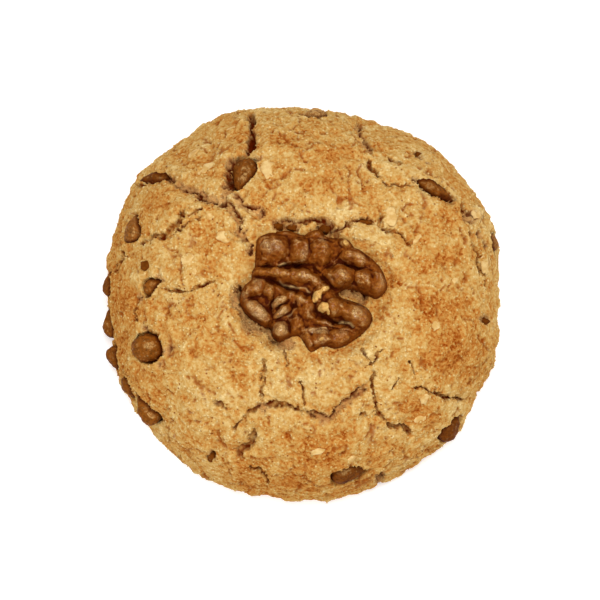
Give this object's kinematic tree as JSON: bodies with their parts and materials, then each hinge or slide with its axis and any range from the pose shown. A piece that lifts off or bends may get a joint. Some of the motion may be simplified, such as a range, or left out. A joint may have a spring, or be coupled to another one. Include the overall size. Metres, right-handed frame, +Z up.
{
  "type": "nut cookie",
  "caption": "Thick round domed cookie with a cracked golden crust, chocolate chips baked in, pale nut flakes and a walnut half pressed into its top.",
  "frame": {"origin": "middle of the flat base, on the plane the cookie rests on", "axes": "+Z up through the walnut, +X to the right and +Y to the back as the picture shows the cookie from above"},
  "size_m": [0.0801, 0.0798, 0.0289],
  "materials": {
    "baked_dough": "dry, grainy golden crust, matte",
    "walnut_skin": "wrinkled brown skin, semi-gloss",
    "milk_chocolate": "smooth, satin"
  },
  "bodies": {
    "root": {"dough": "baked_dough", "walnut_half": "walnut_skin", "chip_01": "milk_chocolate", "chip_02": "milk_chocolate", "chip_03": "milk_chocolate", "chip_04": "milk_chocolate", "chip_05": "milk_chocolate", "chip_06": "milk_chocolate", "chip_07": "milk_chocolate", "chip_08": "milk_chocolate", "chip_09": "milk_chocolate", "chip_10": "milk_chocolate", "chip_11": "milk_chocolate", "chip_12": "milk_chocolate", "chip_13": "milk_chocolate", "chip_14": "milk_chocolate", "chip_15": "milk_chocolate"}
  },
  "joints": []
}
